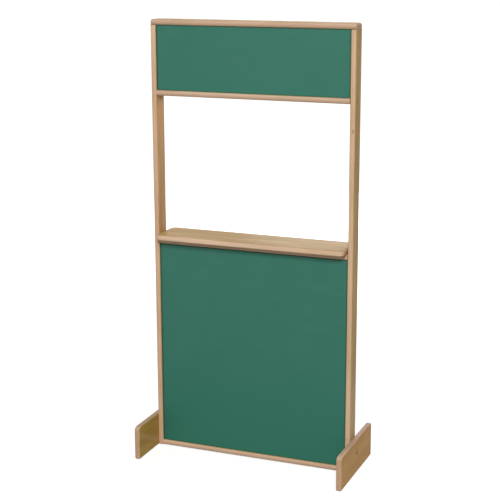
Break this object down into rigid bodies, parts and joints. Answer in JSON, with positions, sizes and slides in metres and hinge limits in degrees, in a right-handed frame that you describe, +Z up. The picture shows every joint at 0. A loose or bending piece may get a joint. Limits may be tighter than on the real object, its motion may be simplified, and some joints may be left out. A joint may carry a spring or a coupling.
{
  "type": "puppet theater stand",
  "caption": "Free-standing child's puppet theater: rounded maple frame with green chalkboard panels, a stage window above a shelf, and foot boards on the outside of the posts.",
  "frame": {"origin": "on the floor, in the middle of the two feet", "axes": "+Z up, +X to the right as the audience sees it, -Y towards the audience"},
  "size_m": [0.7322, 0.328, 1.4503],
  "materials": {
    "maple": "clear satin lacquer on solid maple, rounded edges",
    "foot_maple": "clear satin lacquer on solid maple, a little darker",
    "chalkboard": "matt green chalkboard coat on hardboard",
    "dowel_wood": "raw birch, hidden",
    "plug_wood": "wood plug sanded flush, lacquered",
    "zinc_steel": "zinc-plated, hidden",
    "bronze_steel": "bronze-plated steel, satin"
  },
  "bodies": {
    "root": {"left_post": "maple", "right_post": "maple", "top_rail": "maple", "header_rail": "maple", "shelf_rail": "maple", "bottom_rail": "maple", "puppet_shelf": "maple", "header_panel": "chalkboard", "lower_panel": "chalkboard", "left_foot": "foot_maple", "right_foot": "foot_maple", "top_dowel_left_front": "dowel_wood", "top_dowel_left_back": "dowel_wood", "header_rail_dowel_left": "dowel_wood", "header_rail_screw_left": "zinc_steel", "shelf_rail_dowel_left": "dowel_wood", "shelf_rail_screw_left": "zinc_steel", "bottom_rail_dowel_left": "dowel_wood", "bottom_rail_screw_left": "zinc_steel", "header_rail_plug_left": "plug_wood", "shelf_rail_plug_left": "plug_wood", "left_foot_bolt": "bronze_steel", "left_foot_insert": "zinc_steel", "left_foot_dowel_lower": "dowel_wood", "left_foot_dowel_upper": "dowel_wood", "top_dowel_right_front": "dowel_wood", "top_dowel_right_back": "dowel_wood", "header_rail_dowel_right": "dowel_wood", "header_rail_screw_right": "zinc_steel", "shelf_rail_dowel_right": "dowel_wood", "shelf_rail_screw_right": "zinc_steel", "bottom_rail_dowel_right": "dowel_wood", "bottom_rail_screw_right": "zinc_steel", "header_rail_plug_right": "plug_wood", "shelf_rail_plug_right": "plug_wood", "right_foot_bolt": "bronze_steel", "right_foot_insert": "zinc_steel", "right_foot_dowel_lower": "dowel_wood", "right_foot_dowel_upper": "dowel_wood", "shelf_screw_left": "zinc_steel", "shelf_screw_centre": "zinc_steel", "shelf_screw_right": "zinc_steel"}
  },
  "joints": []
}
